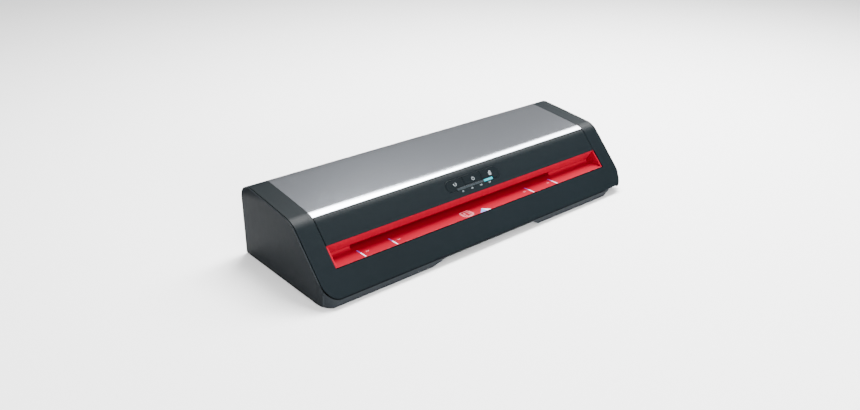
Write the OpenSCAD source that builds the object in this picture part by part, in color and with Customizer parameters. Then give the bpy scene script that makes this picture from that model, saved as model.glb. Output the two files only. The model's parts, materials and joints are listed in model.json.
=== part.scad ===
// Pouch laminator: hot-roller machine for pouches up to the larger marked width.
// X runs along the rollers, Y from the feed side to the exit side, Z up.
// The origin is on the ground, at the middle of the outline.

/* [Overall] */
// Width over the two end walls
body_w = 480; // [470:1:600]
// Depth from the front edge to the rear wall
body_d = 169; // [166:1:215]
// Ground clearance under the skids
ground_gap = 1; // [0.5:0.1:2]
// Height of the corner where the top meets the rear wall, before rounding
rear_h = 90.6; // [89:0.1:110]
// Height of the top's slight crown
crown_h = 84.2; // [83:0.1:88]
// Distance of the crown from the rear wall
crown_back = 59.5; // [50:0.5:70]
// Height of the bend between top and sloping front, before rounding
bend_h = 78.1; // [77:0.1:82]
// Slope of the front face above the horizontal
front_angle = 47.6; // [44:0.1:52]
// Radius of the rounding at the rear top
rear_r = 17; // [8:0.5:20]
// Radius of the bend along the front of the lid
bend_r = 27; // [10:0.5:30]
// Lean of the rear wall towards the front at its top
rear_lean = 2; // [0:0.1:4]
// Radius of the two front corners seen from above
corner_r = 20; // [8:0.5:24]

/* [Shells] */
// Thickness of the moulded shells
wall = 2.5; // [2:0.1:3]
// Thickness of the end walls
end_wall = 3; // [2.5:0.1:4]
// Width of the shadow groove between upper and lower housing
groove = 1.1; // [0.4:0.1:1.2]
// Width of the rim that the end walls show outside the groove
end_rim = 1.3; // [1:0.1:2]
// Corner radius of the upper housing's lower corners
shell_corner_r = 16; // [8:0.5:24]
// Height of the grey strip under the front face
strip_h = 8.5; // [6:0.5:12]
// How far the strip leans back towards the ground
strip_rake = 2.8; // [0:0.1:5]
// Width of the left side frame
left_frame = 26.1; // [18:0.1:40]
// Width of the right side frame
right_frame = 23.9; // [18:0.1:40]
// Gap round a fitted panel
panel_gap = 0.3; // [0.2:0.05:0.6]
// Gap between the fascia and the side frames
fascia_gap = 0.9; // [0.3:0.1:1.2]
// Thickness of the lid and the fascia
panel_t = 2.2; // [1.6:0.1:3]
// Height of the lid's lower edge above the ground
lid_edge_h = 76.6; // [72:0.1:77]
// Distance of the lid's rear edge from the rear wall
lid_back = 14; // [8:0.5:20]

/* [Base] */
// Thickness of the floor
floor_t = 2.5; // [2:0.1:4]
// Height of the floor's underside above the ground
floor_h = 4; // [3:0.1:5]
// Depth of the two skids under the front edge
skid_d = 12; // [8:0.5:16]
// End of the left skid's flat, measured from the middle
left_skid_end = 100; // [80:1:160]
// Start of the right skid's flat, measured from the middle
right_skid_start = 73; // [50:1:120]
// Length of the right skid's flat
right_skid_len = 127; // [60:1:140]
// Thickness of the strip over the arch between the skids
arch_t = 1.2; // [1:0.1:2]
// Length of the ramp at the arch end of the left skid
left_ramp = 20; // [8:1:30]
// Length of the ramp at the arch end of the right skid
right_ramp = 13; // [8:1:30]
// Radius of the round rear feet
rear_foot_r = 8; // [5:0.5:12]
// Distance of the housing screws from the end faces
screw_in = 18; // [14:0.5:20]
// Radius of the screw posts
post_r = 4.5; // [3.5:0.1:5]
// Radius of the housing screws
screw_r = 1.5; // [1.2:0.1:2]

/* [Feed] */
// Height of the feed table above the ground
table_h = 33.4; // [30:0.1:36]
// Height of the recess's upper edge above the ground
recess_top_h = 52.1; // [46:0.1:56]
// Depth of the feed table in front of the slot
table_d = 26; // [18:0.5:28]
// Thickness of the feed mouldings
feed_t = 1.8; // [1.4:0.1:2.5]
// Height of the pouch slot
slot_h = 4.4; // [4.2:0.1:6]
// Length of the pouch slot
slot_len = 316; // [240:1:320]
// Middle of the pouch path, measured from the middle of the body
path_x = -20; // [-22:1:-10]

/* [Rollers] */
// Diameter of the four silicone rollers
roller_d = 22; // [18:0.5:22]
// Length of the silicone sleeves
roller_len = 320; // [260:1:330]
// Thickness of the silicone sleeves
sleeve_t = 3; // [2:0.1:4]
// Radius of the roller journals
journal_r = 4; // [3:0.1:5]
// Radial clearance of journals and axles in their bores
run_gap = 0.05; // [0.02:0.01:0.09]
// Gap between the rollers of a pair, for the thinnest pouch
nip = 0.4; // [0.3:0.05:0.6]
// Distance from the slot's lip to the heated rollers' axis
lip_to_heat = 30.7; // [28:0.1:36]
// Length of the space between sleeve ends and side plates
sleeve_end_gap = 10; // [6:0.5:14]
// Thickness of the steel side plates
plate_t = 1.5; // [1:0.1:2]
// Thickness of the heater shoes
shoe_t = 3; // [2:0.1:4]
// Gap between heater shoes and rollers
shoe_gap = 0.8; // [0.5:0.1:1.5]

/* [Gears] */
// Teeth of the gear on each roller
roller_teeth = 28; // [26:1:30]
// Teeth of the idler between the two pairs
idler_teeth = 24; // [20:1:28]
// Teeth of the motor pinion
pinion_teeth = 14; // [12:1:18]
// Face width of the gears
gear_w = 6; // [4:0.5:8]
// Distance of the gears from the right side plate
gear_out = 2.5; // [2:0.5:4]
// Direction from the upper exit roller to the motor pinion
pinion_angle = 18; // [10:1:24]
// Radius of the gear motor
motor_r = 24; // [20:0.5:25]
// Length of the gear motor
motor_len = 32; // [20:1:40]

/* [Controls] */
// Left end of the key panel
keys_x0 = -39; // [-60:1:-30]
// Right end of the key panel
keys_x1 = 47; // [40:1:60]
// Distance of the key panel from the lid's edge
keys_s = 9; // [7:0.5:11]
// Height of the key panel along the slope
keys_h = 15.6; // [12:0.1:18]
// Gap round each key
key_gap = 0.35; // [0.25:0.05:0.5]
// How far the keys stand proud of the fascia
key_proud = 0.3; // [0:0.1:0.8]
// Travel of each key
key_travel = 0.6; // [0.3:0.1:0.9]
// Length of one light segment
light_len = 14.4; // [10:0.1:16]
// Height of the light segments along the slope
light_h = 2.8; // [2:0.1:4]

/* [Inlet] */
// Radius of the cord inlet's bore
inlet_r = 3.6; // [3:0.1:4.5]
// Distance of the cord inlet from the left end face
inlet_in = 25; // [22:1:40]
// Height of the cord inlet above the ground
inlet_h = 24; // [20:1:40]

/* [Hidden] */

// Facets of round parts
$fn = 48;
// Largest angle between neighbouring facets of a rounded outline
arc_step = 4;
// Overlap that joins two shapes of one solid
lap = 0.1;
// Length that reaches past the whole body
far = 2 * body_w;

// Ends of the body
half_w = body_w / 2;
rear_y = body_d / 2;
front_y = -body_d / 2;
strip_top = ground_gap + strip_h;
slope_run = 1 / tan(front_angle);
function front_at(z) = front_y + (z - strip_top) * slope_run;

// Unit vectors in the YZ plane: down the front face, and out of it
down = [-cos(front_angle), -sin(front_angle)];
out = [-sin(front_angle), cos(front_angle)];

// Corners of the side profile and their radii, from the rear bottom over the top to the front
bend_y = front_at(bend_h);
corners = [
  [rear_y, ground_gap], [rear_y - rear_lean, rear_h], [rear_y - crown_back, crown_h],
  [bend_y, bend_h], [front_y, strip_top], [front_y + strip_rake, ground_gap]
];
crown_r = 1000;
edge_r = 1.2;
radii = [edge_r, rear_r, crown_r, bend_r, edge_r, edge_r];

// Openings in the upper housing
lid_x0 = -half_w + left_frame;
lid_x1 = half_w - right_frame;
lid_edge = [front_at(lid_edge_h), lid_edge_h];
lid_rear = rear_y - lid_back;
recess_top = [front_at(recess_top_h), recess_top_h];
recess_low = [front_at(table_h), table_h];
function slope_s(z) = (lid_edge_h - z) / sin(front_angle);
shell_half = half_w - end_rim - groove;
split_h = strip_top;

// Pouch path
lip_y = recess_low[0] + table_d;
path_z = table_h + slot_h / 2;
slot_x0 = path_x - slot_len / 2;
slot_x1 = path_x + slot_len / 2;
heat_y = lip_y + lip_to_heat;
gear_module = (roller_d + nip) / roller_teeth;
pair_reach = gear_module * (roller_teeth + idler_teeth);
pull_y = heat_y + pair_reach;
roller_r = roller_d / 2;
upper_z = path_z + roller_r + nip / 2;
lower_z = path_z - roller_r - nip / 2;
roller_x0 = path_x - roller_len / 2;
roller_x1 = path_x + roller_len / 2;
plate_in0 = roller_x0 - sleeve_end_gap;
plate_in1 = roller_x1 + sleeve_end_gap;
plate_front = heat_y - 18;
plate_rear = pull_y + 25;
floor_top = floor_h + floor_t;
core_r = roller_r - sleeve_t;
shoe_in = roller_r + shoe_gap;
shoe_out = shoe_in + shoe_t;

// Exit chute through the rear wall
chute_t = 1.6;
chute_half = 2.8;
chute_side = 4;
chute_front = plate_rear + 0.5;
gland_r = inlet_r + 3.4;

// Gear train
gear_x0 = plate_in1 + plate_t + gear_out;
gear_x1 = gear_x0 + gear_w;
roller_pitch_r = gear_module * roller_teeth / 2;
idler_pitch_r = gear_module * idler_teeth / 2;
pinion_pitch_r = gear_module * pinion_teeth / 2;
idler_y = heat_y + roller_pitch_r + idler_pitch_r;
pinion_reach = roller_pitch_r + pinion_pitch_r;
motor_y = pull_y + pinion_reach * cos(pinion_angle);
motor_z = upper_z + pinion_reach * sin(pinion_angle);
idler_axle_r = 3;
motor_shaft_r = 2.5;
bracket_x = gear_x1 + 6;
motor_x0 = bracket_x + plate_t;
pillar_r = 3;
pillars = [[pull_y + 2, upper_z + 19], [pull_y + 20, upper_z + 19], [pull_y + 20, lower_z + 4]];

// A tooth's angle is measured about +X, from +Y towards +Z
function mesh_turn(way, n1, turn1, n2) = way + 180 - (0.5 - (way - turn1) * n1 / 360) * 360 / n2;
turn_lower_heat = 0;
turn_upper_heat = mesh_turn(90, roller_teeth, turn_lower_heat, roller_teeth);
turn_idler = mesh_turn(0, roller_teeth, turn_lower_heat, idler_teeth);
turn_lower_pull = mesh_turn(0, idler_teeth, turn_idler, roller_teeth);
turn_upper_pull = mesh_turn(90, roller_teeth, turn_lower_pull, roller_teeth);
turn_pinion = mesh_turn(pinion_angle, roller_teeth, turn_upper_pull, pinion_teeth);

// Boards
board_t = 1.6;
board_x = plate_in0 - plate_t - 13.5;
board_y0 = heat_y;
board_y1 = pull_y + 10.4;
board_z0 = 12;
board_z1 = 68;
// The parts are laid out for the full depth and drawn together on a shallower board
board_full_d = 52;
board_fit = min(1, (board_y1 - board_y0) / board_full_d);
board_holes = [for (y = [board_y0 + 5, board_y1 - 5], z = [board_z0 + 5, board_z1 - 10]) [y, z]];

// Key panel, with distances down the slope taken as negative local Y
key_top = -keys_s;
key_low = -keys_s - keys_h;
key_split0 = keys_x0 + 28.5;
key_split1 = keys_x1 - 29.9;
key_mid_r = keys_h / 2;
lights_x0 = keys_x0 + 14.4;
lights_count = 4;
lights_x1 = lights_x0 + lights_count * light_len;
light_zone_h = light_h + 2 * key_gap;
key_depth = 4.5;
flange_t = 1.2;
flange_w = 0.9;
control_board_depth = 10;
switch_top = key_depth + key_travel + 0.1;

screw_spots = [for (x = [-half_w + screw_in, half_w - screw_in], y = [front_y + 29.5, rear_y - 22.5]) [x, y]];
screw_head_r = 3.5;
screw_head_t = 2;
screw_reach = 15;
foot_flange = 11;
flange_spots = [plate_front + 8, plate_rear - 8];

// Rounded corner of an outline at p, between its neighbours a and b
function unit(v) = v / norm(v);
function corner_arc(p, a, b, r) =
  let (
    u = unit(a - p), v = unit(b - p), half = acos(u * v) / 2, turn = 180 - 2 * half,
    reach = r / tan(half), centre = p + unit(u + v) * r / sin(half),
    w0 = (p + u * reach - centre), w1 = (p + v * reach - centre),
    steps = max(2, ceil(turn / arc_step))
  )
  [for (i = [0:steps]) centre + (sin(turn * (1 - i / steps)) * w0 + sin(turn * i / steps) * w1) / sin(turn)];
side_outline = [
  for (i = [0:len(corners) - 1])
    each corner_arc(corners[i], corners[(i + len(corners) - 1) % len(corners)],
                    corners[(i + 1) % len(corners)], radii[i])
];

// Involute tooth outline, thinned by a little backlash
gear_backlash = 0.12;
tooth_steps = 4;
pressure = 20;
function involute(base_r, r) = sqrt(pow(r / base_r, 2) - 1) * 180 / PI - acos(base_r / r);
function tooth_half(n, r) =
  let (pitch_r = gear_module * n / 2, base_r = pitch_r * cos(pressure))
  90 / n - gear_backlash / (2 * pitch_r) * 180 / PI
  + involute(base_r, pitch_r) - involute(base_r, max(r, base_r));
function gear_outline(n) =
  let (
    pitch_r = gear_module * n / 2, base_r = pitch_r * cos(pressure),
    tip_r = pitch_r + 0.9 * gear_module, root_r = pitch_r - 1.2 * gear_module,
    flank = [for (i = [0:tooth_steps]) base_r + (tip_r - base_r) * i / tooth_steps],
    radius = concat([root_r], flank)
  )
  [for (k = [0:n - 1]) each concat(
    [for (i = [0:len(radius) - 1])
      let (a = k * 360 / n - tooth_half(n, radius[i])) radius[i] * [cos(a), sin(a)]],
    [for (i = [len(radius) - 1:-1:0])
      let (a = k * 360 / n + tooth_half(n, radius[i])) radius[i] * [cos(a), sin(a)]]
  )];

// Extrudes a YZ outline along X
module along_x(x0, x1) translate([x0, 0, 0]) rotate([90, 0, 90]) linear_extrude(x1 - x0) children();

// Extrudes an XZ outline along Y
module along_y(y0, y1) translate([0, y1, 0]) rotate([90, 0, 0]) linear_extrude(y1 - y0) children();

// Puts its children on the front face: local X along the body, Y up the slope, Z out of the face
module on_front() translate([0, lid_edge[0], lid_edge[1]]) rotate([front_angle, 0, 0]) children();

// A round bar along X
module bar_x(x0, x1, y, z, r) translate([x0, y, z]) rotate([0, 90, 0]) cylinder(h = x1 - x0, r = r);

// Side profile, set in by a distance
module side_profile(inset) offset(delta = -inset) polygon(side_outline);

// Shell between two insets of the side profile
module profile_ring(inset, depth) difference() {
  side_profile(inset);
  side_profile(depth);
}

// Outline of the body seen from above
module plan_outline() {
  translate([-half_w, front_y + corner_r]) square([body_w, body_d]);
  translate([-half_w + corner_r, front_y - lap]) square([body_w - 2 * corner_r, body_d]);
  for (side = [-1, 1])
    translate([side * (half_w - corner_r), front_y + corner_r]) circle(corner_r);
}

// The whole outer form
module outer_form() intersection() {
  along_x(-half_w, half_w) side_profile(0);
  linear_extrude(far) plan_outline();
}

// The part of space that belongs to the upper housing, grown by a distance
module upper_zone(grow) along_y(-far, far) {
  half = shell_half + grow;
  low = split_h + groove - grow;
  r = shell_corner_r;
  translate([-half, low + r]) square([2 * half, far]);
  translate([-half + r, low]) square([2 * (half - r), far]);
  for (side = [-1, 1]) translate([side * (half - r), low + r]) circle(r);
}

// YZ region between two distances down the front face
module slope_band(s0, s1) polygon([
  lid_edge + down * s0 + out * wall * 4, lid_edge + down * s0 - out * wall * 4,
  lid_edge + down * s1 - out * wall * 4, lid_edge + down * s1 + out * wall * 4
]);

// YZ region that the lid covers, from its lower edge to its rear edge
module lid_zone(gap) polygon([
  lid_edge - down * gap + out * 20, lid_edge - down * gap - out * 6,
  [lid_rear - gap, rear_h - 30], [lid_rear - gap, rear_h + 30]
]);

module screw_down(x, y, z, reach, r) translate([x, y, z]) {
  cylinder(h = screw_head_t, r = screw_head_r);
  translate([0, 0, -reach]) cylinder(h = reach + lap, r = r);
}

// Space under the front strip between the skids, and the bevel of its right corner
module arch_cut() {
  top = strip_top - arch_t;
  along_y(front_y - lap, front_y + skid_d) polygon([
    [-left_skid_end, ground_gap - lap], [-left_skid_end, ground_gap],
    [-left_skid_end + left_ramp, top], [right_skid_start - right_ramp, top],
    [right_skid_start, ground_gap], [right_skid_start, ground_gap - lap]
  ]);
  linear_extrude(strip_top) polygon([
    [right_skid_start + right_skid_len, front_y + strip_rake], [half_w, front_y + corner_r],
    [half_w + lap, front_y - lap], [right_skid_start + right_skid_len, front_y - lap]
  ]);
}

module lower_housing() color("dimgray") difference() {
  union() {
    // Rim, corners and floor slab outside the upper housing
    difference() {
      outer_form();
      upper_zone(groove);
    }
    // Inner layer of the end walls
    for (x = [-half_w + end_rim / 2, half_w - end_wall])
      along_x(x, x + end_wall - end_rim / 2) intersection() {
        side_profile(wall + groove);
        translate([front_y + corner_r / 2, 0]) square([body_d, rear_h]);
      }
    // Tongue behind the lower edge of the upper housing
    translate([-half_w + corner_r + end_wall, front_y + 7, strip_top - arch_t])
      cube([body_w - 2 * (corner_r + end_wall), skid_d - 4.5, 4]);
  }
  // Space above the floor
  translate([-half_w + end_wall, front_y + skid_d + 2.5, floor_top])
    cube([body_w - 2 * end_wall, body_d - skid_d - 2.5 - wall, rear_h]);
  // Hollow under the floor
  translate([-half_w + end_wall, front_y + skid_d, 0])
    cube([body_w - 2 * end_wall, body_d - skid_d - wall, floor_h]);
  arch_cut();
  // Screw holes and air slots
  for (p = screw_spots) translate([p[0], p[1], 0]) cylinder(h = far, r = screw_r + 0.3);
  for (x = [plate_in0 - foot_flange / 2 - plate_t, plate_in1 + foot_flange / 2 + plate_t], y = flange_spots)
    translate([x, y, 0]) cylinder(h = far, r = screw_r);
  for (i = [0:11]) translate([path_x - 88 + i * 16, heat_y - 12, 0]) cube([4, 50, floor_top + lap]);
}

// Shell of the upper housing, open under the lid, the fascia and the feed recess
module upper_shell() difference() {
  intersection() {
    outer_form();
    upper_zone(0);
    along_x(-far, far) profile_ring(0, wall);
  }
  along_x(lid_x0, lid_x1) intersection() {
    profile_ring(-1, wall);
    union() {
      lid_zone(0);
      slope_band(-lap, slope_s(table_h));
    }
  }
}

module upper_housing() color("darkslategray") difference() {
  union() {
    upper_shell();
    // Shelves that carry the ends of the lid and the fascia
    for (x = [lid_x0 - 3, lid_x1 - 4]) along_x(x, x + 7) intersection() {
      profile_ring(panel_t, wall + panel_t);
      union() {
        lid_zone(-4);
        slope_band(-1, slope_s(recess_top_h) - 3);
      }
    }
    // Screw posts
    intersection() {
      for (p = screw_spots) translate([p[0], p[1], floor_top]) cylinder(h = rear_h, r = post_r);
      along_x(-far, far) side_profile(wall / 2);
    }
  }
  // Exit opening, rear air slots, cord inlet and screw holes
  translate([slot_x0 - chute_side, rear_y - wall - 3, path_z - chute_half - chute_t])
    cube([slot_len + 2 * chute_side, wall + 4, 2 * (chute_half + chute_t)]);
  for (i = [0:15]) translate([path_x - 122 + i * 16, rear_y - wall - 4, path_z + 18])
    cube([5, wall + 5, 16]);
  translate([-half_w + inlet_in, rear_y - wall - 3, inlet_h]) rotate([-90, 0, 0])
    cylinder(h = wall + 4, r = gland_r);
  for (p = screw_spots) translate([p[0], p[1], floor_top - lap]) cylinder(h = screw_reach, r = screw_r);
}

module lid_panel() color("silver") along_x(lid_x0 + panel_gap, lid_x1 - panel_gap) intersection() {
  profile_ring(0, panel_t);
  lid_zone(panel_gap / 2);
}

module panel_outline(shrink) {
  r = key_mid_r - shrink;
  h = 2 * r;
  translate([keys_x0 + key_mid_r, key_low + shrink]) square([keys_x1 - keys_x0 - 2 * key_mid_r, h]);
  for (x = [keys_x0 + key_mid_r, keys_x1 - key_mid_r]) translate([x, key_low + key_mid_r]) circle(r);
}

module light_zone(grow) translate([lights_x0 - grow, key_low - grow])
  square([lights_x1 - lights_x0 + 2 * grow, light_zone_h + 2 * grow]);

// Outline of the key between two places along the panel
module key_outline(x0, x1, shrink) difference() {
  intersection() {
    panel_outline(shrink);
    translate([x0 + shrink / 2, key_low - lap]) square([x1 - x0 - shrink, keys_h + 2 * lap]);
  }
  light_zone(shrink / 2);
}

module key(x0, x1) color("darkslategray") on_front() {
  translate([0, 0, -key_depth]) linear_extrude(key_depth + key_proud) key_outline(x0, x1, key_gap);
  translate([(x0 + x1) / 2, key_top - key_mid_r + 1.6, -switch_top + key_travel + lap])
    cylinder(h = lap + 0.1, r = 1.6);
}

module key_reverse() key(keys_x0 - lap, key_split0);
module key_power() key(key_split0, key_split1);
module key_pouch() key(key_split1, keys_x1 + lap);

module control_fascia() color("darkslategray") difference() {
  union() {
    along_x(lid_x0 + fascia_gap, lid_x1 - fascia_gap) intersection() {
      profile_ring(0, panel_t);
      slope_band(panel_gap / 2, slope_s(recess_top_h));
    }
    // Posts for the control board
    on_front() for (x = [keys_x0 - 6, keys_x1 + 6], y = [key_top - 2, key_low + 2])
      translate([x, y, -control_board_depth + board_t])
        cylinder(h = control_board_depth - board_t - 1, r = 2);
  }
  on_front() translate([0, 0, -panel_t - 1]) linear_extrude(panel_t + 2) panel_outline(0);
}

module light_segment(i) on_front()
  translate([lights_x0 + i * light_len + 0.2, key_low + key_gap, -key_depth - 3])
    cube([light_len - 0.4, light_h, key_depth + 3 + key_proud / 2]);
module light_bar() color("gray") for (i = [0:lights_count - 2]) light_segment(i);
module light_bar_lit() color("cyan") light_segment(lights_count - 1);

module control_board() color("seagreen") on_front() {
  translate([keys_x0 - 9, key_low - 1.5, -control_board_depth])
    cube([keys_x1 - keys_x0 + 18, keys_h + 3, board_t]);
  for (x = [keys_x0 + key_split0, key_split0 + key_split1, key_split1 + keys_x1] / 2)
    translate([x, key_top - key_mid_r + 1.6, 0]) {
      translate([-3, -3, -control_board_depth + board_t - lap]) cube([6, 6, 3 + lap]);
      translate([0, 0, -control_board_depth + board_t]) cylinder(h = 3.2, r = 1.5);
    }
  // Light carrier behind the segments
  translate([lights_x0, key_low + key_gap, -control_board_depth + board_t - lap])
    cube([lights_x1 - lights_x0, light_h, control_board_depth - board_t - key_depth - 3 + lap]);
}

// The table hooks behind the front bar of the upper housing
feed_rear = plate_front - 1;
feed_hook = 3;
hook_in = wall + panel_gap;
module feed_table() color("crimson") along_x(lid_x0 + panel_gap, lid_x1 - panel_gap) polygon([
  recess_low, [feed_rear, table_h], [feed_rear, table_h - feed_t],
  recess_low + [2 * wall, -feed_t], recess_low - out * (hook_in + feed_t) + down * feed_hook,
  recess_low - out * hook_in + down * feed_hook, recess_low - out * hook_in
]);

// The hood's face runs from the top of the recess down to the slot's lip
module feed_hood() color("firebrick") along_x(lid_x0 + panel_gap, lid_x1 - panel_gap) polygon([
  [lip_y, table_h + slot_h], [feed_rear, table_h + slot_h],
  [feed_rear, table_h + slot_h + feed_t], [lip_y + feed_t * 0.6, table_h + slot_h + feed_t],
  recess_top - out * (panel_t + feed_t / 2) + down * 0.02, recess_top + down * 0.02
]);

// Direction down the hood's face, and out of it towards the table
hood_down = unit([lip_y, table_h + slot_h] - recess_top);
hood_out = [hood_down[1], -hood_down[0]];
module recess_end_walls() color("firebrick")
  for (x = [lid_x0 + panel_gap, lid_x1 - panel_gap - feed_t]) along_x(x, x + feed_t) polygon([
    recess_low + [0.6, 0], recess_top + hood_down + hood_out * 0.1, cheek_head + hood_out * 0.1,
    cheek_head + [cheek_d, -0.05], [lip_y + cheek_d, table_h]
  ]);

// The cheeks close the slot's ends with a hollow curve from the table up to the hood's face
cheek_d = 5;
cheek_steps = 8;
cheek_foot = [lip_y - 5, table_h];
cheek_bend = [lip_y + slot_h * (lip_y - recess_top[0]) / (recess_top[1] - table_h - slot_h), table_h];
cheek_head = [lip_y, table_h + slot_h];
function cheek_at(t) = (1 - t) * (1 - t) * cheek_foot + 2 * t * (1 - t) * cheek_bend + t * t * cheek_head;
module slot_cheeks() color("firebrick")
  for (ends = [[lid_x0 + panel_gap + feed_t, slot_x0], [slot_x1, lid_x1 - panel_gap - feed_t]])
    along_x(ends[0], ends[1]) polygon(concat(
      [for (i = [0:cheek_steps]) cheek_at(i / cheek_steps)],
      [cheek_head + [cheek_d, 0], [lip_y + cheek_d, table_h]]
    ));

module plate_outline() difference() {
  polygon([
    [plate_front, floor_top], [plate_front, upper_z + 14], [plate_front + 9, upper_z + 22],
    [plate_rear, upper_z + 24], [plate_rear, floor_top]
  ]);
  for (y = [heat_y, pull_y], z = [lower_z, upper_z]) translate([y, z]) circle(journal_r + 2);
  for (p = tie_spots) translate(p) circle(screw_r);
}
tie_spots = [[heat_y - 15, floor_top + 7.5], [heat_y + 21, upper_z + 19], [pull_y + 17, floor_top + 8]];
tie_r = 3;

module side_plate(x, side) color("lightsteelblue") difference() {
  union() {
    along_x(x, x + plate_t) plate_outline();
    translate([side < 0 ? x - foot_flange : x + plate_t - lap, plate_front, floor_top])
      cube([foot_flange + lap, plate_rear - plate_front, plate_t]);
  }
  for (y = flange_spots) translate([side < 0 ? x - foot_flange / 2 : x + plate_t + foot_flange / 2, y, 0])
    cylinder(h = floor_top + 5, r = screw_r);
  if (side < 0) for (p = board_holes) bar_x(x - 1, x + plate_t + 1, p[0], p[1], screw_r);
  if (side > 0) {
    for (p = pillars) bar_x(x - 1, x + plate_t + 1, p[0], p[1], screw_r);
    bar_x(x - 1, x + plate_t + 1, idler_y, lower_z, idler_axle_r);
  }
}
module left_side_plate() side_plate(plate_in0 - plate_t, -1);
module right_side_plate() side_plate(plate_in1, 1);

module tie_bars() color("silver") difference() {
  for (p = tie_spots) bar_x(plate_in0, plate_in1, p[0], p[1], tie_r);
  for (p = tie_spots, x = [plate_in0 - 1, plate_in1 - 9]) bar_x(x, x + 10, p[0], p[1], screw_r);
}
module tie_bar_screws() color("silver") for (p = tie_spots) {
  bar_x(plate_in0 - plate_t - 1.6, plate_in0 - plate_t, p[0], p[1], 3);
  bar_x(plate_in0 - plate_t - lap, plate_in0 + 7, p[0], p[1], screw_r);
  bar_x(plate_in1 + plate_t, plate_in1 + plate_t + 1.6, p[0], p[1], 3);
  bar_x(plate_in1 - 7, plate_in1 + plate_t + lap, p[0], p[1], screw_r);
}

// Aluminium core with a steel-sized journal at each end, the right one long enough for its gear
module roller_core(y, z) color("silver") {
  bar_x(roller_x0, roller_x1, y, z, core_r);
  bar_x(plate_in0 - plate_t - 2.5, gear_x1 + 1, y, z, journal_r);
}
module roller_sleeve(y, z) color("orangered") difference() {
  bar_x(roller_x0, roller_x1, y, z, roller_r);
  bar_x(roller_x0 - 1, roller_x1 + 1, y, z, core_r);
}
module upper_heat_core() roller_core(heat_y, upper_z);
module upper_heat_sleeve() roller_sleeve(heat_y, upper_z);
module lower_heat_core() roller_core(heat_y, lower_z);
module lower_heat_sleeve() roller_sleeve(heat_y, lower_z);
module upper_pull_core() roller_core(pull_y, upper_z);
module upper_pull_sleeve() roller_sleeve(pull_y, upper_z);
module lower_pull_core() roller_core(pull_y, lower_z);
module lower_pull_sleeve() roller_sleeve(pull_y, lower_z);

// Flanged bush in a side plate; side is the direction away from the rollers
module bush(x, side, y, z) difference() {
  union() {
    bar_x(x, x + plate_t, y, z, journal_r + 2);
    bar_x(side < 0 ? x + plate_t : x - 2, side < 0 ? x + plate_t + 2 : x, y, z, journal_r + 4);
  }
  bar_x(x - 5, x + plate_t + 5, y, z, journal_r + run_gap);
}
module roller_bushes(y) color("goldenrod") for (z = [lower_z, upper_z]) {
  bush(plate_in0 - plate_t, -1, y, z);
  bush(plate_in1, 1, y, z);
}
module heat_roller_bushes() roller_bushes(heat_y);
module pull_roller_bushes() roller_bushes(pull_y);

// Half shell that heats the side of a roller away from the pouch
module heater_shoe(z, side) color("lightgray") difference() {
  union() {
    bar_x(plate_in0, plate_in1, heat_y, z, shoe_out);
    translate([path_x - 55, heat_y - 9, side > 0 ? z + shoe_out - 2.5 : z - shoe_out])
      cube([30, 18, 2.5]);
  }
  bar_x(plate_in0 - 1, plate_in1 + 1, heat_y, z, shoe_in);
  translate([plate_in0 - 1, heat_y - far / 2, side > 0 ? z + 3 - far : z - 3])
    cube([far, far, far]);
}
module upper_heater_shoe() heater_shoe(upper_z, 1);
module lower_heater_shoe() heater_shoe(lower_z, -1);

module thermostat() color("white") translate([path_x - 40, heat_y, upper_z + shoe_out]) {
  cylinder(h = 5, r = 7.5);
  translate([-11, -2.5, 0]) cube([22, 5, 1]);
  for (x = [-4, 4]) translate([x - 0.4, -2.5, 4.9]) cube([0.8, 5, 5]);
}

// Entry plate and middle plate of the pouch path; side tells upper from lower
module guide_plates(side) color("lightsteelblue") {
  near = path_z + side * 2.5;
  back = path_z + side * 4;
  tip = path_z + side * 3.2;
  along_x(plate_in0, plate_in1) {
    polygon([
      [plate_front + 0.5, near], [heat_y - 9.5, tip], [heat_y - 9.5, tip + side * 0.8],
      [plate_front + 0.5, back]
    ]);
    polygon([
      [heat_y + 9.8, tip], [pull_y - 9.8, near], [pull_y - 9.8, back], [heat_y + 9.8, back]
    ]);
  }
}
module upper_guide_plates() guide_plates(1);
module lower_guide_plates() guide_plates(-1);

// One of the two plates between the exit rollers and the rear wall
module exit_chute(z) color("darkslategray") translate([slot_x0 - chute_side, chute_front, z])
  cube([slot_len + 2 * chute_side, rear_y - rear_lean - chute_front, chute_t]);
module exit_chute_upper() exit_chute(path_z + chute_half);
module exit_chute_lower() exit_chute(path_z - chute_half - chute_t);

module gear(y, z, teeth, turn, bore_r) color("ivory") translate([gear_x0, y, z]) rotate([90, 0, 90])
  rotate([0, 0, turn]) linear_extrude(gear_w) difference() {
    polygon(gear_outline(teeth));
    circle(bore_r);
  }
module upper_heat_gear() gear(heat_y, upper_z, roller_teeth, turn_upper_heat, journal_r);
module lower_heat_gear() gear(heat_y, lower_z, roller_teeth, turn_lower_heat, journal_r);
module upper_pull_gear() gear(pull_y, upper_z, roller_teeth, turn_upper_pull, journal_r);
module lower_pull_gear() gear(pull_y, lower_z, roller_teeth, turn_lower_pull, journal_r);
module idler_gear() gear(idler_y, lower_z, idler_teeth, turn_idler, idler_axle_r + run_gap);
module motor_pinion() gear(motor_y, motor_z, pinion_teeth, turn_pinion, motor_shaft_r);

module idler_axle() color("silver") {
  bar_x(plate_in1, gear_x1 + 1.6, idler_y, lower_z, idler_axle_r);
  bar_x(plate_in1 + plate_t, gear_x0 - 0.4, idler_y, lower_z, idler_axle_r + 1.5);
  bar_x(gear_x1 + 0.4, gear_x1 + 1.4, idler_y, lower_z, idler_axle_r + 1.5);
}
module motor_shaft() color("silver") bar_x(gear_x0 - 1, motor_x0 + 12, motor_y, motor_z, motor_shaft_r);

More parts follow.
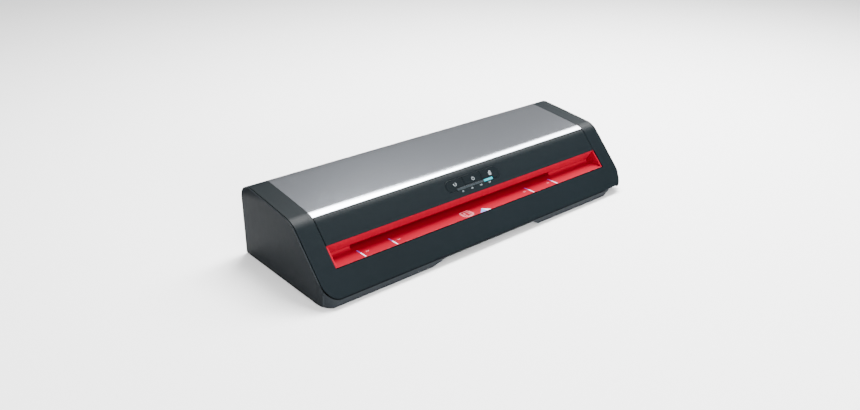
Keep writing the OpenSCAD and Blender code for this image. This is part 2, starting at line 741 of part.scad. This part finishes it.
module gear_motor() color("silver") difference() {
  union() {
    bar_x(motor_x0, motor_x0 + motor_len, motor_y, motor_z, motor_r);
    bar_x(motor_x0 - 3, motor_x0 + lap, motor_y, motor_z, 6);
  }
  bar_x(motor_x0 - 4, motor_x0 + 14, motor_y, motor_z, motor_shaft_r + run_gap);
}
module motor_bracket() color("lightsteelblue") difference() {
  translate([bracket_x, pull_y - 3, lower_z - 1])
    cube([plate_t, plate_rear - pull_y + 3, upper_z - lower_z + 25]);
  bar_x(bracket_x - 1, bracket_x + 3, motor_y, motor_z, 6);
}
module bracket_pillars() color("silver") for (p = pillars) {
  bar_x(plate_in1 + plate_t, bracket_x, p[0], p[1], pillar_r);
  bar_x(plate_in1, plate_in1 + plate_t + lap, p[0], p[1], screw_r);
}

module main_board() color("seagreen") difference() {
  translate([board_x - board_t, board_y0, board_z0])
    cube([board_t, board_y1 - board_y0, board_z1 - board_z0]);
  for (p = board_holes) bar_x(board_x - 3, board_x + 1, p[0], p[1], screw_r);
}
// Transformer, relay, capacitor, fuse and terminals, in board coordinates from the lower front corner
board_blocks = [
  [8, 12, 18, 24, 20], [29, 12, 9, 15, 12], [29, 29, 9, 8, 8], [41, 12, 8, 26, 10], [10, 40, 22, 7, 7]
];
module board_parts() color("dimgray") {
  for (b = board_blocks)
    translate([board_x - board_t - b[4], board_y0 + b[0] * board_fit, board_z0 + b[1]])
      cube([b[4], b[2] * board_fit, b[3]]);
  bar_x(board_x - board_t - 16, board_x - board_t, board_y0 + 37 * board_fit, board_z0 + 44, 4);
}
module board_spacers() color("silver") for (p = board_holes) {
  bar_x(board_x, plate_in0 - plate_t, p[0], p[1], 2.6);
  bar_x(plate_in0 - plate_t - lap, plate_in0, p[0], p[1], screw_r);
  bar_x(board_x - board_t, board_x + lap, p[0], p[1], screw_r);
  bar_x(board_x - board_t - 1.5, board_x - board_t, p[0], p[1], 2.6);
}

// Grommet in the rear wall; its inner flange lies against the wall
module cord_gland() color("black") translate([-half_w + inlet_in, rear_y - 8.5, inlet_h]) rotate([-90, 0, 0])
  difference() {
    union() {
      cylinder(h = 8.2, r = gland_r);
      cylinder(h = 5.1, r = gland_r + 2.6);
    }
    translate([0, 0, -1]) cylinder(h = 11, r = inlet_r);
  }

module skid_pads() color("black") {
  pad_d = skid_d - strip_rake - 3;
  right_pad = [right_skid_start + 8, right_skid_start + right_skid_len - 8];
  for (ends = [[-half_w + 30, -left_skid_end - 8], right_pad])
    translate([ends[0], front_y + strip_rake + 1.5, 0]) cube([ends[1] - ends[0], pad_d, ground_gap]);
}
module rear_feet() color("black") for (x = [-half_w + 30, half_w - 30])
  translate([x, rear_y - 24, 0]) cylinder(h = floor_h, r = rear_foot_r);

module housing_screws() color("silver") for (p = screw_spots)
  translate([p[0], p[1], floor_h]) mirror([0, 0, 1]) {
    cylinder(h = screw_head_t, r = screw_head_r);
    translate([0, 0, -screw_reach]) cylinder(h = screw_reach + lap, r = screw_r);
  }
module chassis_screws() color("silver")
  for (x = [plate_in0 - foot_flange / 2 - plate_t, plate_in1 + foot_flange / 2 + plate_t], y = flange_spots)
    screw_down(x, y, floor_top + plate_t, floor_t + plate_t, screw_r);

lower_housing();
upper_housing();
lid_panel();
control_fascia();
feed_table();
feed_hood();
recess_end_walls();
slot_cheeks();
key_reverse();
key_power();
key_pouch();
light_bar();
light_bar_lit();
control_board();
left_side_plate();
right_side_plate();
tie_bars();
tie_bar_screws();
upper_heat_core();
upper_heat_sleeve();
lower_heat_core();
lower_heat_sleeve();
upper_pull_core();
upper_pull_sleeve();
lower_pull_core();
lower_pull_sleeve();
heat_roller_bushes();
pull_roller_bushes();
upper_heater_shoe();
lower_heater_shoe();
thermostat();
upper_guide_plates();
lower_guide_plates();
exit_chute_upper();
exit_chute_lower();
upper_heat_gear();
lower_heat_gear();
upper_pull_gear();
lower_pull_gear();
idler_gear();
idler_axle();
motor_pinion();
motor_shaft();
gear_motor();
motor_bracket();
bracket_pillars();
main_board();
board_parts();
board_spacers();
cord_gland();
skid_pads();
rear_feet();
housing_screws();
chassis_screws();
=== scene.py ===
"""Pouch laminator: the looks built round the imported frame. Metres, in the frame's own axes."""

import json
import math

import bmesh
import bpy
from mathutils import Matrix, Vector

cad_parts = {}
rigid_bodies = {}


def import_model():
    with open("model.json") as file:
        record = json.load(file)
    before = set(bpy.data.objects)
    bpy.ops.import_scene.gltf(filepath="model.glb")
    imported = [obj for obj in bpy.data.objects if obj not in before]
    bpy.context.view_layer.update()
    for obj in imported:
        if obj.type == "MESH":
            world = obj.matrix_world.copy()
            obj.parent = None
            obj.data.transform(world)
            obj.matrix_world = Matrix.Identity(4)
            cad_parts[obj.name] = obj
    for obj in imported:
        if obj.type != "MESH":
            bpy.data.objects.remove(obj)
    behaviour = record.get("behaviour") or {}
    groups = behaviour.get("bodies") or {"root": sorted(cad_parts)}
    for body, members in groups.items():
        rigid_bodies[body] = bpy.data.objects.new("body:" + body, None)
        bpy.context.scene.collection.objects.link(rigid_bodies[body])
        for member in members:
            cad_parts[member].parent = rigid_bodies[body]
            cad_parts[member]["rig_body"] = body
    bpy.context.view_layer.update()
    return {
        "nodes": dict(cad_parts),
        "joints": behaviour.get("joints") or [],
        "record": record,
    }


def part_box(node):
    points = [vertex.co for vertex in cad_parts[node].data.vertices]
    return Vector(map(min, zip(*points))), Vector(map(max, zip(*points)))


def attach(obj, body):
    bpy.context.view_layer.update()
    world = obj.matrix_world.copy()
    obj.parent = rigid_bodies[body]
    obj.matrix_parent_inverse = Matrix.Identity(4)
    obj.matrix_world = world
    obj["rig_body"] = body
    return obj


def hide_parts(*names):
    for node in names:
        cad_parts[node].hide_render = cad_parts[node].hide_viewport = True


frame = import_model()
NODES = frame["nodes"]
MM = 0.001


# ---------------------------------------------------------------- places taken from the frame

def corner_values(node, way):
    """How far the node's vertices reach along a direction: lowest and highest."""
    reach = [way.dot(v.co) for v in NODES[node].data.vertices]
    return min(reach), max(reach)


press = next(j for j in frame["joints"] if j["name"] == "power_press")
INWARD = Vector(press["axis"]).normalized()
OUT = -INWARD
ALONG = Vector((1, 0, 0))
DOWN = OUT.cross(ALONG).normalized()
if DOWN.z > 0:
    DOWN = -DOWN
FACE_TOP = corner_values("control_fascia", DOWN)[0]
FACE_OUT = corner_values("control_fascia", OUT)[1]
TABLE_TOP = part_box("feed_table")[1].z
TABLE_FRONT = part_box("feed_table")[0].y
KEY_TOP = corner_values("key_power", OUT)[1] - FACE_OUT


def on_face(x, s, h):
    """A point on the sloping front: x along the body, s down from the fascia's top, h out of the slope."""
    return ALONG * x + DOWN * (FACE_TOP + s) + OUT * (FACE_OUT + h)


def on_key(x, s, h):
    """A point on the top of the keys."""
    return on_face(x, s, h + KEY_TOP)


def on_table(x, y, h):
    """A point on the feed table: y behind the table's front edge."""
    return Vector((x, TABLE_FRONT + y, TABLE_TOP + h))


# ---------------------------------------------------------------- materials

def new_material(name):
    """An empty node material and its shader."""
    mat = bpy.data.materials.new(name)
    mat.use_nodes = True
    tree = mat.node_tree
    shader = tree.nodes["Principled BSDF"]
    return mat, tree, shader


def noise(tree, scale, detail=3.0, stretch=(1, 1, 1)):
    """Noise in the object's own coordinates, stretched along its axes."""
    coords = tree.nodes.new("ShaderNodeTexCoord")
    mapping = tree.nodes.new("ShaderNodeMapping")
    mapping.inputs["Scale"].default_value = stretch
    node = tree.nodes.new("ShaderNodeTexNoise")
    node.inputs["Scale"].default_value = scale
    node.inputs["Detail"].default_value = detail
    tree.links.new(coords.outputs["Object"], mapping.inputs["Vector"])
    tree.links.new(mapping.outputs["Vector"], node.inputs["Vector"])
    return node


def ramp(tree, source, low, high, start=0.3, end=0.7):
    """A two-colour ramp over a noise."""
    node = tree.nodes.new("ShaderNodeValToRGB")
    node.color_ramp.elements[0].position = start
    node.color_ramp.elements[1].position = end
    node.color_ramp.elements[0].color = (*low, 1)
    node.color_ramp.elements[1].color = (*high, 1)
    tree.links.new(source.outputs["Fac"], node.inputs["Fac"])
    return node


def spread(tree, source, low, high):
    """A noise mapped to a range of values."""
    node = tree.nodes.new("ShaderNodeMapRange")
    node.inputs["To Min"].default_value = low
    node.inputs["To Max"].default_value = high
    tree.links.new(source.outputs["Fac"], node.inputs["Value"])
    return node


def bump(tree, shader, source, strength, distance):
    """Relief from a noise."""
    node = tree.nodes.new("ShaderNodeBump")
    node.inputs["Strength"].default_value = strength
    node.inputs["Distance"].default_value = distance
    tree.links.new(source.outputs["Fac"], node.inputs["Height"])
    tree.links.new(node.outputs["Normal"], shader.inputs["Normal"])


def moulded(name, colour, rough, grain=1800, relief=0.25, vary=0.08, coat=0.0, specular=0.5):
    """Injection-moulded plastic: faint colour drift, uneven gloss and a spark-eroded grain."""
    mat, tree, shader = new_material(name)
    drift = noise(tree, 9, 4)
    dark = tuple(c * (1 - vary) for c in colour)
    light = tuple(min(1, c * (1 + vary)) for c in colour)
    tree.links.new(ramp(tree, drift, dark, light).outputs["Color"], shader.inputs["Base Color"])
    gloss = spread(tree, noise(tree, 160, 5), rough - 0.05, rough + 0.05)
    tree.links.new(gloss.outputs["Result"], shader.inputs["Roughness"])
    bump(tree, shader, noise(tree, grain, 2), relief, 0.00003)
    shader.inputs["Specular IOR Level"].default_value = specular
    shader.inputs["Coat Weight"].default_value = coat
    shader.inputs["Coat Roughness"].default_value = 0.08
    return mat


def metal(name, colour, rough, stretch=(1, 1, 1), grain=900, relief=0.15, vary=0.06):
    """Metal with a grain that may be drawn out along one axis."""
    mat, tree, shader = new_material(name)
    drawn = noise(tree, grain, 4, stretch)
    dark = tuple(c * (1 - vary) for c in colour)
    light = tuple(min(1, c * (1 + vary)) for c in colour)
    tree.links.new(ramp(tree, drawn, dark, light).outputs["Color"], shader.inputs["Base Color"])
    gloss = spread(tree, drawn, rough - 0.04, rough + 0.05)
    tree.links.new(gloss.outputs["Result"], shader.inputs["Roughness"])
    bump(tree, shader, drawn, relief, 0.00002)
    shader.inputs["Metallic"].default_value = 1.0
    return mat


def ink(name, colour, rough=0.5, glow=0.0):
    """Pad-printed ink with slightly uneven cover, or a lit window when it glows."""
    mat, tree, shader = new_material(name)
    cover = noise(tree, 2500, 3)
    light = tuple(min(1, c * 1.05) for c in colour)
    tree.links.new(ramp(tree, cover, tuple(c * 0.85 for c in colour), light).outputs["Color"],
                   shader.inputs["Base Color"])
    gloss = spread(tree, cover, rough - 0.05, rough + 0.08)
    tree.links.new(gloss.outputs["Result"], shader.inputs["Roughness"])
    if glow:
        shader.inputs["Emission Color"].default_value = (*colour, 1)
        shader.inputs["Emission Strength"].default_value = glow
    return mat


MATERIALS = {
    "grey_shell": moulded("grey_plastic", (0.0108, 0.0128, 0.0146), 0.50, relief=0.35,
                          specular=0.02),
    "dark_shell": moulded("dark_plastic", (0.0016, 0.0036, 0.0048), 0.46, relief=0.25,
                          specular=0.09),
    "silver_lid": metal("silver_paint", (0.355, 0.375, 0.41), 0.205, stretch=(0.03, 1, 1), grain=2600,
                        relief=0.006, vary=0.012),
    "red_feed": moulded("red_gloss_plastic", (0.20, 0.0005, 0.010), 0.34, grain=300, relief=0.02,
                        vary=0.04, coat=0.03, specular=0.06),
    "key_black": moulded("key_plastic", (0.0015, 0.0033, 0.0044), 0.42, grain=2400, specular=0.08),
    "light_dim": moulded("dim_window", (0.016, 0.021, 0.024), 0.25, relief=0.05, coat=0.2,
                         specular=0.2),
    "light_lit": ink("lit_window", (0.0005, 0.20, 0.24), 0.3, glow=0.5),
    "board_green": moulded("solder_mask", (0.02, 0.16, 0.06), 0.3, grain=900, relief=0.2),
    "part_dark": moulded("component_plastic", (0.05, 0.05, 0.055), 0.5),
    "steel": metal("zinc_steel", (0.55, 0.56, 0.58), 0.36, grain=120, relief=0.1),
    "aluminium": metal("machined_aluminium", (0.75, 0.76, 0.77), 0.28, stretch=(1, 8, 8), grain=60),
    "silicone": moulded("silicone_rubber", (0.45, 0.10, 0.04), 0.62, grain=1200, relief=0.3),
    "bush": metal("sintered_bronze", (0.55, 0.36, 0.16), 0.42, grain=1500, relief=0.4),
    "thermostat": moulded("ceramic_body", (0.70, 0.68, 0.62), 0.45),
    "gear_nylon": moulded("natural_nylon", (0.70, 0.67, 0.58), 0.42),
    "motor_can": metal("plated_can", (0.60, 0.61, 0.63), 0.3, grain=200),
    "rubber_black": moulded("black_rubber", (0.012, 0.012, 0.012), 0.75, grain=900, relief=0.5),
}
WHITE_INK = ink("white_ink", (0.55, 0.60, 0.70), 0.4)
# Lilac colour of the rear part of each guide mark, towards the slot.
LILAC_MARK_TIP = ink("lilac_mark_tip", (0.09, 0.06, 0.30), 0.4)
# Near-black colour of the painted shadow strips along the red recess's lower and right edges.
PAINTED_SEAM_SHADOW = moulded("painted_seam_shadow", (0.0006, 0.0003, 0.0004), 0.7, specular=0.0)
GREY_INK = ink("grey_ink", (0.20, 0.23, 0.25), 0.5)
ICON_INK = ink("icon_ink", (0.34, 0.38, 0.40), 0.5)
BLUE_INK = ink("blue_ink", (0.05, 0.20, 0.50), 0.4)
PINK_INK = ink("pink_ink", (0.55, 0.20, 0.22), 0.4)
SLOT_OF = {s["node"]: s["material_slot"] for s in frame["record"]["subparts"]}


def dress(obj, mat):
    """Puts one material on an object."""
    obj.data.materials.clear()
    obj.data.materials.append(mat)


# ---------------------------------------------------------------- visible CAD shapes with real edges

WELD = 0.002 * MM
FLAT_ANGLE = 0.4
SHARP_ANGLE = 28
SHADE_MARGIN = 8


def refined(node, width, segments=2):
    """The node's own shape as one clean mesh with rounded edges. It stands for the node."""
    body = NODES[node]["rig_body"]
    mesh = bpy.data.meshes.new(node + "_skin")
    bm = bmesh.new()
    bm.from_mesh(NODES[node].data)
    bmesh.ops.remove_doubles(bm, verts=bm.verts, dist=WELD)
    bmesh.ops.dissolve_limit(bm, angle_limit=math.radians(FLAT_ANGLE), verts=bm.verts,
                             edges=bm.edges)
    least = math.radians(SHARP_ANGLE)
    edges = [e for e in bm.edges if len(e.link_faces) == 2 and e.calc_face_angle(0) > least]
    bmesh.ops.bevel(bm, geom=edges, offset=width, segments=segments, profile=0.5,
                    affect="EDGES", clamp_overlap=True)
    bmesh.ops.triangulate(bm, faces=[f for f in bm.faces if len(f.verts) > 4])
    bmesh.ops.recalc_face_normals(bm, faces=bm.faces)
    for face in bm.faces:
        face.smooth = True
    bm.to_mesh(mesh)
    bm.free()
    mesh.set_sharp_from_angle(angle=math.radians(SHARP_ANGLE + SHADE_MARGIN))
    piece = bpy.data.objects.new(node + "_skin", mesh)
    bpy.context.scene.collection.objects.link(piece)
    weighted = piece.modifiers.new("even_normals", "WEIGHTED_NORMAL")
    weighted.keep_sharp = True
    dress(piece, MATERIALS[SLOT_OF[node]])
    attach(piece, body)
    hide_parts(node)


# Edge rounding in millimetres of each node that shows from outside
SKINS = {
    "lower_housing": 0.5, "upper_housing": 0.5, "lid_panel": 0.35, "control_fascia": 0.3,
    "feed_table": 0.3, "feed_hood": 0.35, "key_reverse": 0.25, "key_power": 0.25, "key_pouch": 0.25,
    "light_bar": 0.15, "light_bar_lit": 0.15, "rear_feet": 0.5, "skid_pads": 0.25, "cord_gland": 0.5,
    "housing_screws": 0.3, "exit_chute_upper": 0.3, "exit_chute_lower": 0.3,
    "slot_cheeks": 0.2, "recess_end_walls": 0.2,
}


def dress_frame():
    """Materials on every CAD node, and refined skins on the ones that show."""
    for node, obj in NODES.items():
        dress(obj, MATERIALS[SLOT_OF[node]])
    for node, width in SKINS.items():
        refined(node, width * MM)


# ---------------------------------------------------------------- printed marks

INK_LOW = -0.05
INK_HIGH = 0.06


def print_shape(name, outlines, place, mat, body, high=INK_HIGH):
    """Ink as a thin solid: each outline, in millimetres, is laid on a surface by place(x, y, h)."""
    mesh = bpy.data.meshes.new(name)
    bm = bmesh.new()
    for outline in outlines:
        under = [bm.verts.new(place(x * MM, y * MM, INK_LOW * MM)) for x, y in outline]
        over = [bm.verts.new(place(x * MM, y * MM, high * MM)) for x, y in outline]
        count = len(outline)
        bm.faces.new(over)
        bm.faces.new(list(reversed(under)))
        for i in range(count):
            j = (i + 1) % count
            bm.faces.new((under[i], under[j], over[j], over[i]))
    bmesh.ops.recalc_face_normals(bm, faces=bm.faces)
    bm.to_mesh(mesh)
    bm.free()
    piece = bpy.data.objects.new(name, mesh)
    bpy.context.scene.collection.objects.link(piece)
    dress(piece, mat)
    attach(piece, body)


def bar(x0, y0, x1, y1):
    """Outline of an upright rectangle."""
    return [(x0, y0), (x1, y0), (x1, y1), (x0, y1)]


def stroke(a, b, width):
    """Outline of a straight line of some width."""
    (ax, ay), (bx, by) = a, b
    length = math.hypot(bx - ax, by - ay)
    nx, ny = -(by - ay) / length * width / 2, (bx - ax) / length * width / 2
    return [(ax + nx, ay + ny), (bx + nx, by + ny), (bx - nx, by - ny), (ax - nx, ay - ny)]


def box_line(x0, y0, x1, y1, width):
    """Outlines of a rectangle drawn with a line."""
    return [bar(x0, y0, x1, y0 + width), bar(x0, y1 - width, x1, y1),
            bar(x0, y0 + width, x0 + width, y1 - width), bar(x1 - width, y0 + width, x1, y1 - width)]


def arc_line(cx, cy, radius, width, start, end, steps=20):
    """Outlines of an arc, as short quads. Angles are in degrees from the first axis towards the second."""
    quads = []
    inner = radius - width / 2
    outer = radius + width / 2
    for i in range(steps):
        a = math.radians(start + (end - start) * i / steps)
        b = math.radians(start + (end - start) * (i + 1) / steps)
        corners = ((inner, a), (outer, a), (outer, b), (inner, b))
        quads.append([(cx + r * math.cos(t), cy + r * math.sin(t)) for r, t in corners])
    return quads


LETTER_HEIGHT = 0.05


def letters(name, words, size, middle, place, mat):
    """Printed figures in millimetres, laid on a surface by place(x, y, h)."""
    origin = place(middle[0] * MM, middle[1] * MM, 0.0)
    up = (place(middle[0] * MM, (middle[1] + 1) * MM, 0.0) - origin).normalized()
    text = bpy.data.curves.new(name, "FONT")
    text.body = words
    text.size = size * MM
    text.align_x = "CENTER"
    text.align_y = "CENTER"
    text.extrude = LETTER_HEIGHT * MM
    text.resolution_u = 3
    text.materials.append(mat)
    piece = bpy.data.objects.new(name, text)
    bpy.context.scene.collection.objects.link(piece)
    piece.rotation_euler = (math.atan2(up.z, up.y), 0, 0)
    piece.location = origin
    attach(piece, "chassis")


PATH_X = (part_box("upper_guide_plates")[0].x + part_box("upper_guide_plates")[1].x) / 2 / MM
MARKS_SHIFT = -3.8
# Half the distance between the two marks of a pair, and the tag beside each mark
MARK_PAIRS = (("wide", 151, "A3"), ("narrow", 108, "A4"))
MARK_HALF_WIDTH = 0.75
# Where a mark starts, changes from white to lilac and ends, behind the table's front edge
MARK_START = 1.2
MARK_CHANGE = 11
MARK_END = 18.4
TAG_SIZE = 3.4
TAG_BACK = 9.6


def width_marks():
    """Two pairs of guide marks for the two sheet widths, each with a small tag beside it."""
    middle = PATH_X + MARKS_SHIFT
    for tag, half, label in MARK_PAIRS:
        for side in (-1, 1):
            x = middle + side * half
            x0, x1 = x - MARK_HALF_WIDTH, x + MARK_HALF_WIDTH
            tag_x = x + (8 if side < 0 else -8.5)
            name = f"mark_{tag}_{'left' if side < 0 else 'right'}"
            print_shape(name, [bar(x0, MARK_START, x1, MARK_CHANGE)], on_table, WHITE_INK, "chassis")
            print_shape(name + "_tip", [bar(x0, MARK_CHANGE, x1, MARK_END)], on_table, LILAC_MARK_TIP,
                        "chassis")
            letters(name + "_tag", label, TAG_SIZE, (tag_x, TAG_BACK), on_table, PINK_INK)


def pouch_mark():
    """Outline of a pouch with the sheet inside, left of the centre arrow."""
    x0, y0, x1, y1 = -29, 2.4, -16.5, 15.5
    lines = box_line(x0, y0, x1, y1, 0.8)
    lines += box_line(x0 + 3, y0 - 1.0, x1 - 3, y1 - 3.4, 0.7)
    lines += [bar(x0 - 1.6, y0 + 2, x0 - 0.9, y1 - 2), bar(x1 + 0.9, y0 + 2, x1 + 1.6, y1 - 2)]
    print_shape("pouch_mark", lines, on_table, PINK_INK, "chassis")


def centre_arrow():
    """Blue triangle that points into the slot, with a pale right flank."""
    tip = (0.6, 8.6)
    split = (3, 0.6)
    print_shape("centre_arrow", [[(-8, 0.6), split, tip]], on_table, BLUE_INK, "chassis")
    print_shape("centre_arrow_flank", [[split, (9.2, 0.6), tip]], on_table, WHITE_INK, "chassis")


# Icons: middle of each key along the body, distance down the slope, line width, ring radius
REVERSE_X = -24.5
POWER_X = 4.3
POUCH_X = 32.4
ICON_S = 15.6
ICON_LINE = 0.34
RING_R = 1.9


def key_icons():
    """Reverse arrow, power sign and pouch sign, one on each key."""
    tail = REVERSE_X - RING_R
    lines = arc_line(REVERSE_X, ICON_S, RING_R, ICON_LINE, -70, 190)
    lines.append([(tail - 0.8, ICON_S - 0.1), (tail + 0.8, ICON_S - 0.1), (tail, ICON_S - 1.4)])
    print_shape("icon_reverse", lines, on_key, ICON_INK, "reverse_key")

    lines = arc_line(POWER_X, ICON_S + 0.2, RING_R, ICON_LINE, -55, 235)
    lines.append(stroke((POWER_X, ICON_S - 2.6), (POWER_X, ICON_S - 0.2), ICON_LINE))
    print_shape("icon_power", lines, on_key, ICON_INK, "power_key")

    lines = box_line(POUCH_X - 1.5, ICON_S - 2.3, POUCH_X + 1.5, ICON_S + 2.0, ICON_LINE)
    lines += [bar(POUCH_X - 0.8, ICON_S + y, POUCH_X + 0.8, ICON_S + y + 0.25) for y in (-1.3, -0.2, 0.9)]
    fold = (POUCH_X - 2.3, ICON_S + 2.7)
    lines.append(stroke((fold[0], ICON_S - 1.4), fold, ICON_LINE))
    lines.append(stroke(fold, (POUCH_X + 0.6, fold[1]), ICON_LINE))
    print_shape("icon_pouch", lines, on_key, ICON_INK, "pouch_key")


LIGHTS_LOW = corner_values("light_bar", DOWN)[1] - FACE_TOP
LIGHT_GAP = 0.4
LABEL_SIZE = 2.5
LABEL_DROP = 2.4


def on_slope(x, up, h):
    """A point on the front, its second distance counted up the slope from the lights' lower edge."""
    return on_face(x, LIGHTS_LOW - up, h)


def step_labels():
    """Pouch thickness steps under the light segments: plain numbers."""
    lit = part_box("light_bar_lit")
    pitch = (lit[1].x - lit[0].x) / MM + LIGHT_GAP
    first = (lit[0].x + lit[1].x) / 2 / MM - 3 * pitch
    for i, number in enumerate(("80", "100", "125", "150")):
        place = (first + i * pitch, -LABEL_DROP)
        letters(f"step_{number}", number, LABEL_SIZE, place, on_slope, GREY_INK)


def painted_seam_shadows():
    """Painted shadow: thin dark printed strips where the red mouldings meet the dark shells, standing in
    for the shade in the gaps.
    """
    x0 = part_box("feed_table")[0].x / MM
    x1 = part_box("feed_table")[1].x / MM
    table_edge = Vector((0, TABLE_FRONT, TABLE_TOP))
    low = (table_edge.dot(DOWN) - FACE_TOP) / MM
    high = (corner_values("control_fascia", DOWN)[1] - FACE_TOP) / MM
    under = bar(x0, low + 0.2, x1 + 0.9, low + 1.0)
    right = bar(x1 + 0.1, high, x1 + 0.9, low + 0.2)
    for name, outline in (("painted_shadow_low", under), ("painted_shadow_right", right)):
        print_shape(name, [outline], on_face, PAINTED_SEAM_SHADOW, "chassis", high=0.04)


# ---------------------------------------------------------------- stage

FLOOR_SIZE = 80
WORLD_STRENGTH = 0.36
SUN_ENERGY = 1.5
SUN_ANGLE = 35
SUN_DIRECTION = (0.3, 0.55, -0.8)
# Soft boxes: place, point looked at, size and power. The first two light the bend of the lid.
SOFT_BOXES = {
    "bend_left": ((0.38, 0.26, 1.33), (-0.1, 0, 0.07), (0.72, 0.80), 74),
    "bend_right": ((0.98, 0.14, 1.10), (0.1, 0, 0.07), (0.52, 0.80), 36),
    "front_box": ((-0.5, -2.2, 0.50), (0, 0, 0.05), (1.6, 0.5), 150),
}
CAMERA_PLACE = (-0.6076, -0.6799, 0.4447)
CAMERA_DOWN = 25.04
CAMERA_TURN = -40.15
CAMERA_LENS = 33.725
CAMERA_SENSOR = 36


def linked(name, data):
    """A new object of the scene for a light's or camera's data."""
    obj = bpy.data.objects.new(name, data)
    bpy.context.scene.collection.objects.link(obj)
    return obj


def aim(obj, direction):
    """Turns a light to shine along a direction."""
    obj.rotation_euler = Vector(direction).to_track_quat("-Z", "Y").to_euler()


def pale_floor():
    """Matt floor, far wider than the view."""
    bpy.ops.mesh.primitive_plane_add(size=FLOOR_SIZE)
    floor = bpy.context.object
    floor.name = "floor"
    mat, tree, shader = new_material("pale_floor")
    tint = ramp(tree, noise(tree, 0.6), (0.93, 0.93, 0.93), (0.96, 0.96, 0.96))
    tree.links.new(tint.outputs["Color"], shader.inputs["Base Color"])
    shader.inputs["Roughness"].default_value = 0.9
    shader.inputs["Specular IOR Level"].default_value = 0.1
    dress(floor, mat)


def sky():
    """Even white light from all round."""
    world = bpy.data.worlds.new("studio")
    world.use_nodes = True
    background = world.node_tree.nodes["Background"]
    background.inputs["Color"].default_value = (1, 1, 1, 1)
    background.inputs["Strength"].default_value = WORLD_STRENGTH
    bpy.context.scene.world = world


def high_sun():
    """Wide soft light from the front left, above."""
    data = bpy.data.lights.new("high_sun", "SUN")
    data.energy = SUN_ENERGY
    data.angle = math.radians(SUN_ANGLE)
    aim(linked("high_sun", data), SUN_DIRECTION)


def soft_box(name, place, towards, size, power):
    """A rectangular light that looks at a point."""
    data = bpy.data.lights.new(name, "AREA")
    data.shape = "RECTANGLE"
    data.size, data.size_y = size
    data.energy = power
    light = linked(name, data)
    light.location = place
    aim(light, Vector(towards) - Vector(place))


def camera():
    """The photographer's view: from the front left, above."""
    data = bpy.data.cameras.new("camera")
    data.lens = CAMERA_LENS
    data.sensor_width = CAMERA_SENSOR
    view = linked("camera", data)
    view.location = CAMERA_PLACE
    view.rotation_euler = (math.radians(90 - CAMERA_DOWN), 0, math.radians(CAMERA_TURN))
    bpy.context.scene.camera = view


dress_frame()
width_marks()
pouch_mark()
centre_arrow()
key_icons()
step_labels()
painted_seam_shadows()
pale_floor()
sky()
high_sun()
for box_name, values in SOFT_BOXES.items():
    soft_box(box_name, *values)
camera()
